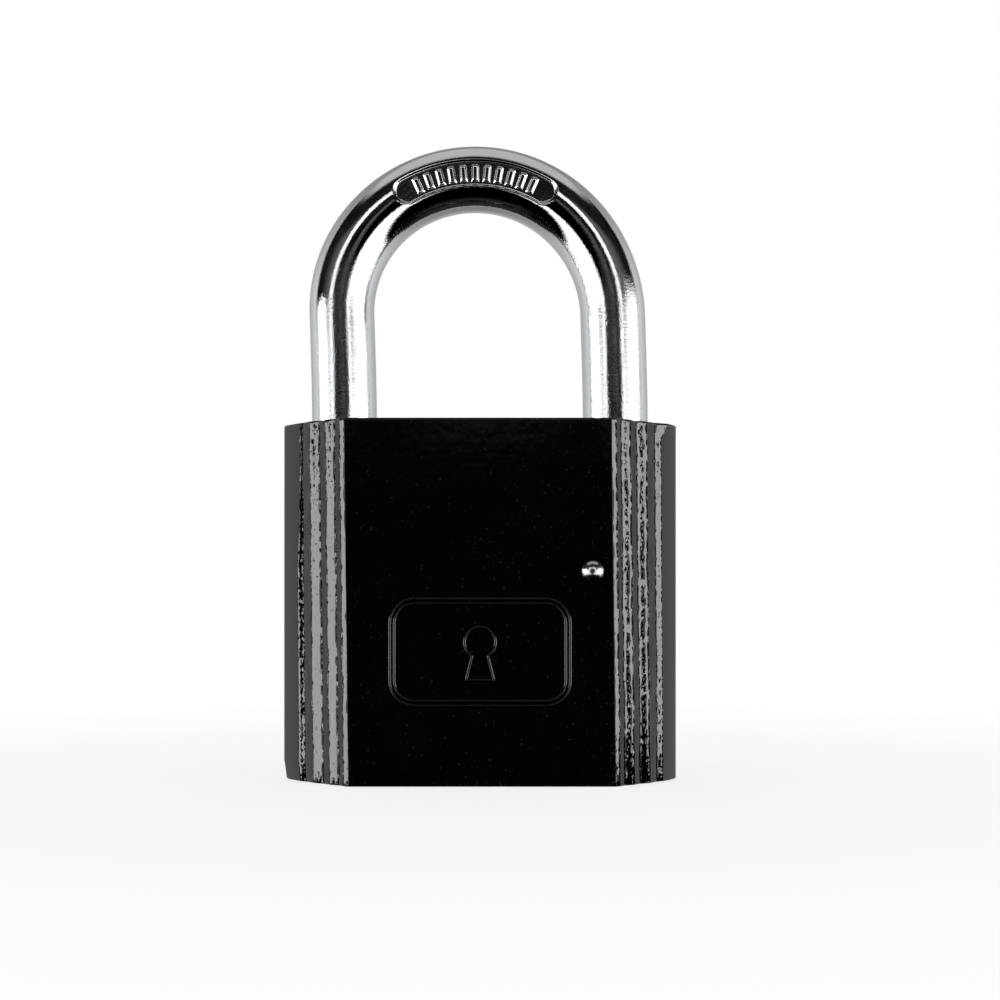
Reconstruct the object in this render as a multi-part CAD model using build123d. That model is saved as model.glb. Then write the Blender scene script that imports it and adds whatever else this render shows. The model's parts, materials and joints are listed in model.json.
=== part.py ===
from build123d import *
import math
import os

os.makedirs("parts", exist_ok=True)

# A padlock with a cast iron case, a round shackle and a five-pin cylinder.
# Lengths are in millimetres. The front faces -Y and the shackle stands up along +Z.
# The origin is the middle of the case's underside.
# It is drawn pushed shut with the latch drawn back, so the shackle is free to lift.

# Case
case_width = 50.0
case_height = 45.0
case_thickness = 22.0
side_flat = 3.0
tread_widths = [0.60, 1.25, 1.35, 0.80]
riser_widths = [0.65, 0.80, 1.10, 2.15]
tread_slope = 33.0
side_radius = 2.0
rim_chamfer = 0.25
mouth_chamfer = 0.4

# Shackle
bar_diameter = 8.3
leg_spacing = 34.7
shackle_clearance = 27.5
shackle_lift = 10.5
shackle_play = 0.25
toe_insertion = 9.4
toe_notch_depth = 3.0
toe_tip_chamfer = 1.2
heel_foot = 2.4
heel_bore_floor = 4.0

# Pin that keeps the heel leg in the case
retainer_diameter = 2.5
retainer_height = 26.3
retainer_offset = 3.6
retainer_reach = 16.8
retainer_head_diameter = 2.7
retainer_head_rise = 0.85
retainer_side_gap = 0.15
retainer_end_gap = 0.3

# Plug and its pins
plug_diameter = 12.0
plug_play = 0.05
plug_recess = 0.3
plug_shoulder = 27.0
plug_neck_diameter = 8.0
pin_count = 5
pin_pitch = 3.9
first_pin_height = 5.6
chamber_diameter = 3.0
pin_play = 0.06
key_pin_lengths = [4.4, 5.2, 4.0, 4.8, 5.6]
key_chamber_reach = 6.4
driver_pin_length = 5.5
driver_spring_length = 8.0
driver_spring_turns = 4
keyway_depth = 22.6
plug_pin_diameter = 2.0
plug_pin_height = 24.4
plug_pin_reach = 17.0
press_gap = 0.01
plug_set = 0.2

# Latch
latch_drop = 5.0
latch_diameter = 4.9
latch_play = 0.05
nose_height = 3.0
nose_length = 3.6
nose_gap = 0.45
drive_pin_diameter = 3.0
drive_pin_offset = 2.2
drive_pin_gap = 0.15
latch_web = 2.8
latch_spring_length = 3.4
latch_plug_length = 3.0
unlocking_turn = 90.0

# Springs
shackle_spring_wire = 0.8
shackle_spring_turns = 5
latch_spring_wire = 0.5
latch_spring_turns = 3
driver_spring_wire = 0.36
spring_end_gap = 0.05

# Positions that follow from the sizes above
bar_radius = bar_diameter / 2
leg_x = leg_spacing / 2
bore_radius = bar_radius + shackle_play
bow_height = case_height + shackle_clearance + bar_radius - leg_x
front = -case_thickness / 2
back = case_thickness / 2
retainer_radius = retainer_diameter / 2
retainer_x = leg_x - retainer_offset
heel_flat = retainer_offset - retainer_radius - retainer_side_gap
heel_waist = heel_flat - 0.2
waist_middle = retainer_height - shackle_lift
waist_height = retainer_diameter + 2 * retainer_end_gap
heel_end = waist_middle - waist_height / 2 - heel_foot
toe_end = case_height - toe_insertion
plug_radius = plug_diameter / 2
plug_bore_radius = plug_radius + plug_play
neck_radius = plug_neck_diameter / 2
neck_bore_radius = neck_radius + plug_play
chamber_radius = chamber_diameter / 2
pin_radius = chamber_radius - pin_play
key_pin_start = -math.sqrt((plug_radius - plug_play) ** 2 - pin_radius**2)
pin_heights = [first_pin_height + pin_pitch * number for number in range(pin_count)]
latch_height = case_height - latch_drop
latch_radius = latch_diameter / 2
channel_radius = latch_radius + latch_play
nose_tip = -(leg_x - bar_radius) + nose_gap
drive_angle = math.radians(unlocking_turn / 2)
drive_swing = drive_pin_offset * math.sin(drive_angle)
latch_travel = 2 * drive_swing
slot_right = drive_swing + drive_pin_diameter / 2 + drive_pin_gap
slot_left = slot_right - drive_pin_diameter - latch_travel - 2 * drive_pin_gap
latch_tail = slot_right + latch_web
channel_end = latch_tail + latch_spring_length
neck_top = latch_height - channel_radius - 0.6
driver_start = -plug_bore_radius
driver_end = driver_start - driver_pin_length
spring_end = driver_end - driver_spring_length

BOTTOM = (Align.CENTER, Align.CENTER, Align.MIN)


def rod(start, along, radius, length):
    """A round bar or drilling from a point in a direction."""
    return Plane(origin=start, z_dir=along) * Cylinder(radius, length, align=BOTTOM)


def block(low, high):
    """A box between two corners."""
    size = [b - a for a, b in zip(low, high)]
    middle = [(a + b) / 2 for a, b in zip(low, high)]
    return Pos(*middle) * Box(*size)


def coil_spring(start, along, outer_diameter, wire, length, turns):
    """One unbroken length of four-sided wire that climbs round a straight line in short runs."""
    runs = 7
    wire_radius = wire / 2
    mean_radius = outer_diameter / 2 - wire_radius
    climb = (length - 2 * spring_end_gap - wire) / (runs * turns)
    frame = Plane(origin=start, z_dir=along)
    spots = []
    for number in range(runs * turns + 1):
        angle = 2 * math.pi * number / runs
        height = spring_end_gap + wire_radius + climb * number
        local = Vector(mean_radius * math.cos(angle), mean_radius * math.sin(angle), height)
        spots.append(frame.from_local_coords(local))
    gaps = [
        (first - second).length
        for place, first in enumerate(spots)
        for second in spots[place + runs // 2 + 1:]
    ]
    print("least gap of a spring to itself", round(min(gaps) - wire, 2), "mm")
    section = Plane(origin=spots[0], z_dir=spots[1] - spots[0]) * RegularPolygon(wire_radius, 4)
    return sweep(section, path=Polyline(*spots), transition=Transition.RIGHT)


def case_outline():
    """Plan of the case: flat faces, stepped bevels of treads and risers, a narrow flat on each side."""
    tread_fall = math.tan(math.radians(tread_slope))
    depth = (case_thickness - side_flat) / 2
    riser_fall = (depth - tread_fall * sum(tread_widths)) / sum(riser_widths)
    x = case_width / 2 - sum(tread_widths) - sum(riser_widths)
    y = front
    corner = [(x, y)]
    for tread, riser in zip(tread_widths, riser_widths):
        x, y = x + tread, y + tread * tread_fall
        corner.append((x, y))
        x, y = x + riser, y + riser * riser_fall
        corner.append((x, y))
    right = corner + [(px, -py) for px, py in reversed(corner)]
    left = [(-px, py) for px, py in reversed(right)]
    plan = make_face(Polyline(*right, *left, close=True))
    half_width = case_width / 2
    sides = plan.vertices().filter_by(lambda vertex: abs(vertex.X) > half_width - 0.01)
    return fillet(sides, side_radius)


def case_block():
    """The case before drilling, with its top and bottom rims broken."""
    solid = extrude(case_outline(), case_height)
    rims = solid.faces().filter_by(Axis.Z).edges()
    return chamfer(rims, rim_chamfer)


def case_drillings():
    """Every hole in the case, as the bodies that are cut away."""
    over = 1.0
    up = (0, 0, 1)
    side = (-1, 0, 0)
    holes = []
    for x, floor in ((leg_x, heel_bore_floor), (-leg_x, toe_end - 0.6)):
        holes.append(rod((x, 0, floor), up, bore_radius, case_height - floor + over))
        mouth = Cone(bore_radius, bore_radius + mouth_chamfer, mouth_chamfer, align=BOTTOM)
        holes.append(Pos(x, 0, case_height - mouth_chamfer) * mouth)
    holes.append(rod((0, 0, -over), up, plug_bore_radius, plug_shoulder + 0.2 + over))
    holes.append(rod((0, 0, plug_shoulder), up, neck_bore_radius, latch_height + 0.6 - plug_shoulder))
    reach = case_width / 2 + over
    holes.append(rod((channel_end, 0, latch_height), side, channel_radius, channel_end + reach))
    for height in pin_heights:
        holes.append(rod((-plug_radius + 1, 0, height), side, chamber_radius, reach - plug_radius + 1))
    depth = retainer_reach + press_gap
    holes.append(rod((retainer_x, front + depth, retainer_height), (0, -1, 0), retainer_radius, depth + over))
    depth = plug_pin_reach + press_gap
    holes.append(rod((plug_radius, back - depth, plug_pin_height), (0, 1, 0), plug_pin_diameter / 2, depth + over))
    return holes


def shackle_body():
    """Round bar bent to a bow, with the heel turned and flatted and the toe notched."""
    heel = rod((leg_x, 0, heel_end), (0, 0, 1), bar_radius, bow_height - heel_end)
    heel = chamfer(heel.edges().sort_by(Axis.Z)[0], 0.5)
    toe = rod((-leg_x, 0, toe_end), (0, 0, 1), bar_radius, bow_height - toe_end)
    toe = chamfer(toe.edges().sort_by(Axis.Z)[0], toe_tip_chamfer)
    bow_path = ThreePointArc((leg_x, 0, bow_height), (0, 0, bow_height + leg_x), (-leg_x, 0, bow_height))
    bow = sweep(Pos(leg_x, 0, bow_height) * Circle(bar_radius), path=bow_path)
    bar = heel + bow + toe

    waist_low = waist_middle - waist_height / 2
    flat_top = retainer_height + retainer_radius + 0.8
    flat_side = leg_x - heel_flat
    bar -= block((leg_x - bar_radius - 1, -5, waist_middle), (flat_side, 5, flat_top))
    ring = Cylinder(bar_radius + 1, waist_height, align=BOTTOM)
    ring -= Cylinder(heel_waist, waist_height, align=BOTTOM)
    bar -= Pos(leg_x, 0, waist_low) * ring

    notch_low = latch_height - nose_height / 2 - 0.3
    notch_high = latch_height + nose_height / 2 + 0.3
    inner_side = -leg_x + bar_radius
    bar -= block((inner_side - toe_notch_depth, -5, notch_low), (inner_side + 1, 5, notch_high))
    return bar


def retaining_pin():
    """Straight pin with a low polished dome that stands on the front face."""
    shank = rod((retainer_x, front + retainer_reach, retainer_height), (0, -1, 0),
                retainer_radius - press_gap, retainer_reach)
    rim = retainer_head_diameter / 2
    dome = (rim**2 + retainer_head_rise**2) / (2 * retainer_head_rise)
    ball = Pos(retainer_x, front + dome - retainer_head_rise, retainer_height) * Sphere(dome)
    cap = ball & block(
        (retainer_x - rim - 1, front - retainer_head_rise - 1, retainer_height - rim - 1),
        (retainer_x + rim + 1, front, retainer_height + rim + 1),
    )
    return shank + cap


def plug_body():
    """Brass cylinder with keyway, pin chambers, groove, neck and eccentric drive pin."""
    up = (0, 0, 1)
    barrel = rod((0, 0, plug_recess), up, plug_radius, plug_shoulder - plug_recess)
    barrel = chamfer(barrel.edges().sort_by(Axis.Z)[0], 0.3)
    neck = rod((0, 0, plug_shoulder - 1), up, neck_radius, neck_top - plug_shoulder + 1)
    aim = math.radians(-90) - drive_angle
    drive_x, drive_y = drive_pin_offset * math.cos(aim), drive_pin_offset * math.sin(aim)
    pin = rod((drive_x, drive_y, neck_top - 1), up, drive_pin_diameter / 2, latch_height - neck_top + 1)
    body = barrel + neck + pin

    groove_width = plug_pin_diameter + 0.2
    groove_radius = plug_radius - plug_pin_diameter / 2 - 0.1
    groove = Cylinder(plug_radius + 1, groove_width) - Cylinder(groove_radius, groove_width)
    body -= Pos(0, 0, plug_pin_height) * groove
    for height in pin_heights:
        body -= rod((-plug_radius - 1, 0, height), (1, 0, 0), chamber_radius, key_chamber_reach + 1)
    top = plug_recess + keyway_depth
    body -= block((-3.6, -0.5, -1), (0.2, 1.1, top))
    body -= block((-0.2, -1.1, -1), (2.4, 1.1, top))
    body -= block((2.2, -1.1, -1), (4.6, 0.4, top))
    return body


def key_pin(number):
    """Brass pin that rides on the key, pointed at its inner end."""
    length = key_pin_lengths[number]
    tip = 0.9
    shank = rod((key_pin_start, 0, pin_heights[number]), (1, 0, 0), pin_radius, length - tip)
    point = Cone(pin_radius, 0.4, tip, align=BOTTOM)
    foot = Plane(origin=(key_pin_start + length - tip, 0, pin_heights[number]), z_dir=(1, 0, 0))
    return shank + foot * point


def driver_pin(number):
    """Steel pin that the spring presses against the plug."""
    return rod((driver_start, 0, pin_heights[number]), (-1, 0, 0), pin_radius, driver_pin_length)


def latch_bolt():
    """Round bolt with a bevelled flat nose and a wide slot for the drive pin."""
    bolt = rod((latch_tail, 0, latch_height), (-1, 0, 0), latch_radius, latch_tail - nose_tip)
    bolt = chamfer(bolt.edges().filter_by(GeomType.CIRCLE).sort_by(Axis.X)[-1], 0.3)
    shoulder = nose_tip + nose_length
    above = latch_height + nose_height / 2
    below = latch_height - nose_height / 2
    bolt -= block((nose_tip - 1, -5, above), (shoulder, 5, above + 5))
    bolt -= block((nose_tip - 1, -5, below - 5), (shoulder, 5, below))
    rise = nose_height * 0.7
    bevel = Polyline((nose_tip - 0.1, above + 0.1), (nose_tip + rise, above + 0.1),
                     (nose_tip - 0.1, above - rise), close=True)
    bolt -= extrude(Plane.XZ * make_face(bevel), 5, both=True)
    bolt -= block((slot_left, -5, latch_height - 5), (slot_right, 5, latch_height + 0.5))
    return bolt


def side_plug(envelope, height, radius, inner_end):
    """Short plug driven into a side drilling until its dressed end lies just below the enamel."""
    plug = rod((inner_end - plug_set, 0, height), (-1, 0, 0), radius - press_gap, case_width)
    return Pos(plug_set, 0, 0) * (plug & envelope)


def back_pin():
    """Pin driven in from the back, whose side sits in the plug's groove."""
    low = back - plug_pin_reach
    return rod((plug_radius, low, plug_pin_height), (0, 1, 0), plug_pin_diameter / 2 - press_gap,
               plug_pin_reach - plug_set)


def save(name, shape):
    shape.label = name
    export_step(shape, f"parts/{name}.step")


envelope = case_block()
case = envelope
for hole in case_drillings():
    case -= hole
save("case", case)
save("shackle", shackle_body())
save("shackle_retaining_pin", retaining_pin())
save("plug_retaining_pin", back_pin())

turned = Rot(0, 0, unlocking_turn)
save("plug", turned * plug_body())
for number in range(pin_count):
    save(f"key_pin_{number + 1}", turned * key_pin(number))
    save(f"driver_pin_{number + 1}", driver_pin(number))
    spring = coil_spring((driver_end, 0, pin_heights[number]), (-1, 0, 0), chamber_diameter - 0.6,
                         driver_spring_wire, driver_spring_length, driver_spring_turns)
    save(f"driver_spring_{number + 1}", spring)
chamber_plugs = [side_plug(envelope, height, chamber_radius, spring_end) for height in pin_heights]
save("chamber_plugs", Compound(children=chamber_plugs))

save("latch_bolt", latch_bolt())
latch_spring = coil_spring((latch_tail, 0, latch_height), (1, 0, 0), latch_diameter - 0.8,
                           latch_spring_wire, latch_spring_length, latch_spring_turns)
save("latch_spring", latch_spring)
save("latch_bore_plug", side_plug(envelope, latch_height, channel_radius, -case_width / 2 + latch_plug_length))

shackle_spring = coil_spring((leg_x, 0, heel_bore_floor), (0, 0, 1), bar_diameter - 0.8,
                             shackle_spring_wire, heel_end - heel_bore_floor, shackle_spring_turns)
save("shackle_spring", shackle_spring)
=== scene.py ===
import json
import math
import bmesh
import bpy
from mathutils import Matrix, Vector


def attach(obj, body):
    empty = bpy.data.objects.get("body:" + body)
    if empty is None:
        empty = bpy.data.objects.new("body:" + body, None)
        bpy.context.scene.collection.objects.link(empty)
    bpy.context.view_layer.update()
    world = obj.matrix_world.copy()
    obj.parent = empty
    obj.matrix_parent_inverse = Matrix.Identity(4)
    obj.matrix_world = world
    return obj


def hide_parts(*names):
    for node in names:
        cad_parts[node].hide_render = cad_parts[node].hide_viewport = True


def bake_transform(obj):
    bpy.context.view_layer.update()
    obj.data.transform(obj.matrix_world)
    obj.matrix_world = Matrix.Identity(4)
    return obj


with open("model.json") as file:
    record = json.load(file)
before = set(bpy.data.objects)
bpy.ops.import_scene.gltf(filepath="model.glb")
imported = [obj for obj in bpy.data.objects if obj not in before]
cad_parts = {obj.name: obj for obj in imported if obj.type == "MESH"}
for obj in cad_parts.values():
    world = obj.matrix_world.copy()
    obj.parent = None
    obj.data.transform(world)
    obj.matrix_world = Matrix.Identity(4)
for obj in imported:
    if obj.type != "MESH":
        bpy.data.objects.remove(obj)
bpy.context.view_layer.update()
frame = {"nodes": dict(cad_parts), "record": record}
scene = bpy.context.scene
mm = 0.001
smooth = {"interpolation_type": "SMOOTHSTEP"}


def toLinear(code):
    parts = [int(code[i:i + 2], 16) / 255 for i in (1, 3, 5)]
    return tuple(c / 12.92 if c <= 0.04045 else ((c + 0.055) / 1.055) ** 2.4 for c in parts) + (1.0,)


def addNode(tree, kind, inputs=(), out=0, **settings):
    # one node with its settings, values and links; gives back the output that is asked for
    node = tree.nodes.new(kind)
    for name, value in settings.items():
        setattr(node, name, value)
    for name, value in inputs.items() if isinstance(inputs, dict) else enumerate(inputs):
        if isinstance(value, bpy.types.NodeSocket):
            tree.links.new(value, node.inputs[name])
        else:
            node.inputs[name].default_value = value
    return node if out is None else node.outputs[out]


def nodeBox(name):
    # lowest and highest corner of a CAD node, in millimetres
    corners = [v.co / mm for v in frame["nodes"][name].data.vertices]
    return [Vector([round(pick(c[k] for c in corners), 3) for k in range(3)]) for pick in (min, max)]


# materials

def newMaterial(name):
    material = bpy.data.materials.new(name)
    material.use_nodes = True
    tree = material.node_tree
    tree.nodes.clear()
    coords = addNode(tree, "ShaderNodeTexCoord", out="Object")
    spot = addNode(tree, "ShaderNodeVectorMath", {0: coords, "Scale": 1 / mm}, operation="SCALE")
    return material, tree, spot  # spot is in millimetres


def endMaterial(tree, sockets):
    shader = addNode(tree, "ShaderNodeBsdfPrincipled", sockets)
    addNode(tree, "ShaderNodeOutputMaterial", {"Surface": shader}, out=None)


chipSizes = {"wide": 0.3, "tall": 0.5, "pull": 0.42, "dented": (0.70, 0.80), "dulled": (0.735, 0.775)}


def chipField(tree, spot, amount):
    # ragged chips: the same field dents the case and dulls its enamel
    wide, tall = 1 / chipSizes["wide"], 1 / chipSizes["tall"]
    grain = addNode(tree, "ShaderNodeVectorMath", [spot, (wide, wide, tall)], operation="MULTIPLY")
    ragged = addNode(tree, "ShaderNodeTexNoise",
                     {"Vector": grain, "Scale": 1, "Detail": 3, "Roughness": 0.6})
    return addNode(tree, "ShaderNodeMath", [amount, chipSizes["pull"], ragged], operation="MULTIPLY_ADD")


enamelLook = {
    "peel": 1.25, "peelDepth": 0.012, "grit": 0.2, "gritDepth": 0.12, "dust": 0.385, "cloud": 6.7,
    "sheen": 3.3, "deep": "#040405", "thin": "#080809", "speck": "#3a3d3e", "bare": "#020202",
    "specks": (0.79, 0.83, 0, 0.25), "gloss": (0.2, 0.8, 0.045, 0.085),  # noise from, to, value at each
    "chipRough": 0.55, "shine": 0.5, "chipShine": 0.01,
}


# enamel: a deep wet black with a faint orange peel, and dull ragged chips where it missed the steps
def enamelMaterial():
    look = enamelLook
    material, tree, spot = newMaterial("glossBlackEnamel")
    amount = addNode(tree, "ShaderNodeAttribute", out="Fac", attribute_name="flaw")
    chips = chipField(tree, spot, amount)
    chip = addNode(tree, "ShaderNodeMapRange", [chips, *chipSizes["dulled"]], **smooth)
    peel = addNode(tree, "ShaderNodeTexNoise", {"Vector": spot, "Scale": 1 / look["peel"], "Detail": 1})
    grit = addNode(tree, "ShaderNodeTexNoise",
                   {"Vector": spot, "Scale": 1 / look["grit"], "Detail": 3, "Roughness": 0.7})
    dust = addNode(tree, "ShaderNodeTexNoise", {"Vector": spot, "Scale": 1 / look["dust"], "Detail": 0})
    dust = addNode(tree, "ShaderNodeMapRange", [dust, *look["specks"]], **smooth)
    cloud = addNode(tree, "ShaderNodeTexNoise", {"Vector": spot, "Scale": 1 / look["cloud"]})
    tone = addNode(tree, "ShaderNodeMix", {0: cloud, 6: toLinear(look["deep"]), 7: toLinear(look["thin"])},
                   out=2, data_type="RGBA")
    for share, colour in ((dust, "speck"), (chip, "bare")):
        tone = addNode(tree, "ShaderNodeMix", {0: share, 6: tone, 7: toLinear(look[colour])},
                       out=2, data_type="RGBA")
    sheen = addNode(tree, "ShaderNodeTexNoise", {"Vector": spot, "Scale": 1 / look["sheen"], "Detail": 3})
    gloss = addNode(tree, "ShaderNodeMapRange", [sheen, *look["gloss"]], **smooth)
    rough = addNode(tree, "ShaderNodeMath", [chip, look["chipRough"], gloss], operation="MULTIPLY_ADD")
    dulling = look["chipShine"] - look["shine"]
    shine = addNode(tree, "ShaderNodeMath", [chip, dulling, look["shine"]], operation="MULTIPLY_ADD")
    bump = addNode(tree, "ShaderNodeBump", {"Height": peel, "Distance": look["peelDepth"] * mm})
    broken = addNode(tree, "ShaderNodeMath", [grit, chip], operation="MULTIPLY")
    bump = addNode(tree, "ShaderNodeBump",
                   {"Height": broken, "Distance": look["gritDepth"] * mm, "Normal": bump})
    endMaterial(tree, {"Base Color": tone, "Roughness": rough, "IOR": 1.5, "Specular IOR Level": shine,
                       "Normal": bump})
    return material


chromeLook = {
    "streak": (0.42, 0.42, 6.2), "streakDepth": 0.016, "dent": 0.24, "dentDepth": 0.04, "worn": 3.3,
    "wornTop": (58, 72, 1.0, 0.3), "haze": 1.7, "dark": "#dfe2e4", "light": "#e9ebec",
    "gloss": (0.25, 0.75, 0.015, 0.04),
}


# chrome: mirror bright, with polishing streaks along the bar and small dents that fray its reflections
def chromeMaterial():
    look = chromeLook
    material, tree, spot = newMaterial("chromePlate")
    along = addNode(tree, "ShaderNodeAttribute", out="Vector", attribute_name="bar")
    lengths = tuple(1 / size for size in look["streak"])
    along = addNode(tree, "ShaderNodeVectorMath", [along, lengths], operation="MULTIPLY")
    streaks = addNode(tree, "ShaderNodeTexNoise",
                      {"Vector": along, "Scale": 1, "Detail": 3, "Roughness": 0.6})
    height = addNode(tree, "ShaderNodeSeparateXYZ", [spot], out="Z")
    calm = addNode(tree, "ShaderNodeMapRange", [height, *look["wornTop"]], **smooth)  # the bow is smoother
    worn = addNode(tree, "ShaderNodeTexNoise", {"Vector": spot, "Scale": 1 / look["worn"], "Detail": 1})
    worn = addNode(tree, "ShaderNodeMath", [worn, calm], operation="MULTIPLY")
    dents = addNode(tree, "ShaderNodeTexNoise",
                    {"Vector": spot, "Scale": 1 / look["dent"], "Roughness": 0.6})
    dents = addNode(tree, "ShaderNodeMath", [dents, worn], operation="MULTIPLY")
    haze = addNode(tree, "ShaderNodeTexNoise", {"Vector": spot, "Scale": 1 / look["haze"]})
    rough = addNode(tree, "ShaderNodeMapRange", [haze, *look["gloss"]], **smooth)
    tone = addNode(tree, "ShaderNodeMix", {0: haze, 6: toLinear(look["dark"]), 7: toLinear(look["light"])},
                   out=2, data_type="RGBA")
    bump = addNode(tree, "ShaderNodeBump", {"Height": streaks, "Distance": look["streakDepth"] * mm})
    bump = addNode(tree, "ShaderNodeBump",
                   {"Height": dents, "Distance": look["dentDepth"] * mm, "Normal": bump})
    endMaterial(tree, {"Base Color": tone, "Metallic": 1, "Roughness": rough, "Normal": bump})
    return material


brassLook = {
    "ring": 0.45, "ringDepth": 0.02, "ringWander": 1.2, "stain": 2.2, "stains": (0.4, 0.75),
    "clean": "#d0a765", "tarnish": "#9a7440", "rough": 0.2, "stainRough": 0.2,
}


# brass: yellow turned metal with rings from the lathe, drawn coarse enough to show, and a brownish tarnish
def brassMaterial():
    look = brassLook
    material, tree, spot = newMaterial("turnedBrass")
    pitch = math.pi / (10 * look["ring"])  # a wave of scale 1 repeats every pi / 10
    rings = addNode(tree, "ShaderNodeTexWave",
                    {"Vector": spot, "Scale": pitch, "Distortion": look["ringWander"], "Detail": 2},
                    out="Fac", wave_type="RINGS", rings_direction="Z")
    stain = addNode(tree, "ShaderNodeTexNoise", {"Vector": spot, "Scale": 1 / look["stain"], "Detail": 3})
    stain = addNode(tree, "ShaderNodeMapRange", [stain, *look["stains"]], **smooth)
    tone = addNode(tree, "ShaderNodeMix",
                   {0: stain, 6: toLinear(look["clean"]), 7: toLinear(look["tarnish"])},
                   out=2, data_type="RGBA")
    rough = addNode(tree, "ShaderNodeMath", [stain, look["stainRough"], look["rough"]],
                    operation="MULTIPLY_ADD")
    bump = addNode(tree, "ShaderNodeBump", {"Height": rings, "Distance": look["ringDepth"] * mm})
    endMaterial(tree, {"Base Color": tone, "Metallic": 1, "Roughness": rough, "Normal": bump})
    return material


steelMarks = {"depth": 0.004, "shown": (0.25, 0.75)}
steelLooks = {
    "polishedSteel": {
        "marks": (0.5, 0.5, 0.07), "light": "#dedcd9", "dark": "#cfcdca", "gloss": (0.16, 0.26)},
    "turnedSteel": {
        "marks": (0.11, 1.0, 0.11), "light": "#b9bbbd", "dark": "#8d8f92", "gloss": (0.25, 0.4)},
    "springWire": {
        "marks": (0.11, 1.0, 0.11), "light": "#8f9194", "dark": "#5c5f63", "gloss": (0.3, 0.45)},
}


# steels: warm and buffed on the pin that shows, grey with fine tool lines on turned pieces, dark on wire
def steelMaterial(name):
    look = steelLooks[name]
    material, tree, spot = newMaterial(name)
    lengths = tuple(1 / size for size in look["marks"])
    grain = addNode(tree, "ShaderNodeVectorMath", [spot, lengths], operation="MULTIPLY")
    marks = addNode(tree, "ShaderNodeTexNoise", {"Vector": grain, "Scale": 1})
    tone = addNode(tree, "ShaderNodeMix", {0: marks, 6: toLinear(look["light"]), 7: toLinear(look["dark"])},
                   out=2, data_type="RGBA")
    rough = addNode(tree, "ShaderNodeMapRange", [marks, *steelMarks["shown"], *look["gloss"]], **smooth)
    bump = addNode(tree, "ShaderNodeBump", {"Height": marks, "Distance": steelMarks["depth"] * mm})
    endMaterial(tree, {"Base Color": tone, "Metallic": 1, "Roughness": rough, "Normal": bump})
    return material


enamel = enamelMaterial()
chrome = chromeMaterial()
brass = brassMaterial()
polished, plainSteel, springSteel = (steelMaterial(name) for name in steelLooks)
print("materials made")


# meshes and node trees

def meshObject(name, points, edges, faces, material):
    mesh = bpy.data.meshes.new(name)
    mesh.from_pydata(points, edges, faces)
    mesh.materials.append(material)
    mesh.shade_smooth()
    thing = bpy.data.objects.new(name, mesh)
    scene.collection.objects.link(thing)
    return thing


def tubeFaces(rings, around):
    # quads between rings of points, with a flat face over each end
    faces = []
    for k in range(rings - 1):
        for i in range(around):
            j = (i + 1) % around
            faces.append((k * around + i, k * around + j, (k + 1) * around + j, (k + 1) * around + i))
    faces.append(tuple(reversed(range(around))))
    faces.append(tuple(range((rings - 1) * around, rings * around)))
    return faces


def finishMesh(thing, angle):
    # modifiers become plain mesh, smooth up to the given angle
    graph = bpy.context.evaluated_depsgraph_get()
    graph.update()
    made = bpy.data.meshes.new_from_object(thing.evaluated_get(graph), depsgraph=graph)
    thing.modifiers.clear()
    thing.data = made
    made.shade_smooth()
    made.set_sharp_from_angle(angle=math.radians(angle))
    return thing


def newTree(name, **inputs):
    # a node tree with a socket for each size, and the sockets' identifiers
    tree = bpy.data.node_groups.new(name, "GeometryNodeTree")
    tree.interface.new_socket("Geometry", in_out="INPUT", socket_type="NodeSocketGeometry")
    names = {}
    for title, kind in inputs.items():
        socket = tree.interface.new_socket(title, in_out="INPUT", socket_type="NodeSocket" + kind)
        names[title] = socket.identifier
    tree.interface.new_socket("Geometry", in_out="OUTPUT", socket_type="NodeSocketGeometry")
    return tree, addNode(tree, "NodeGroupInput", out=None).outputs, names


def endTree(tree, geometry, material):
    real = addNode(tree, "GeometryNodeRealizeInstances", {"Geometry": geometry})
    painted = addNode(tree, "GeometryNodeSetMaterial", {"Geometry": real, "Material": material})
    addNode(tree, "NodeGroupOutput", {"Geometry": painted}, out=None)


def runTree(thing, tree, names, values):
    modifier = thing.modifiers.new(tree.name, "NODES")
    for title, value in values.items():
        modifier[names[title]] = value
    modifier.node_group = tree
    tree.interface_update(bpy.context)


# case

caseLow, caseHigh = nodeBox("case")
caseSizes = {
    "width": caseHigh.x - caseLow.x, "height": caseHigh.z, "thickness": caseHigh.y - caseLow.y,
    "sideFlat": 3.0, "treadSlope": 33.0,
    "treads": (0.60, 1.25, 1.35, 0.80), "risers": (0.65, 0.80, 1.10, 2.15),
    "edge": 0.35, "hollow": 0.3, "side": 2.0, "rim": 0.25, "levels": 150,
    "bulge": 0.05,                                      # crown of the outermost riser
    "lean": 0.55, "leanFrom": 1.5, "leanOver": 6.0,     # the front steps lean over from foot to top
    "tuck": 0.35, "tuckHeight": 2.5, "tuckReach": 5.0,  # the left side draws in at the foot
    "narrow": 0.3, "narrowFrom": 0.4,                   # the left outer tread narrows towards the top
    "flare": 1.3, "flareFrom": 0.045,                   # the right outer tread flares at the very top
    "chipDepth": 0.07, "wander": 0.06, "sway": 0.32,    # dents, and how far the steps are uneven
    "waves": (4.0, 4.0, 6.2), "swings": (1.8, 1.8, 3.0),
    "calmRim": 0.3, "calmFace": 0.05, "calmSide": 2.5,  # nothing is dented or moved this near to them
}
pointGaps = {"face": 1.2, "side": 0.5, "front": 0.16, "back": 0.32}
bendSteps = {"side": 10, "edge": 4}


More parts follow.
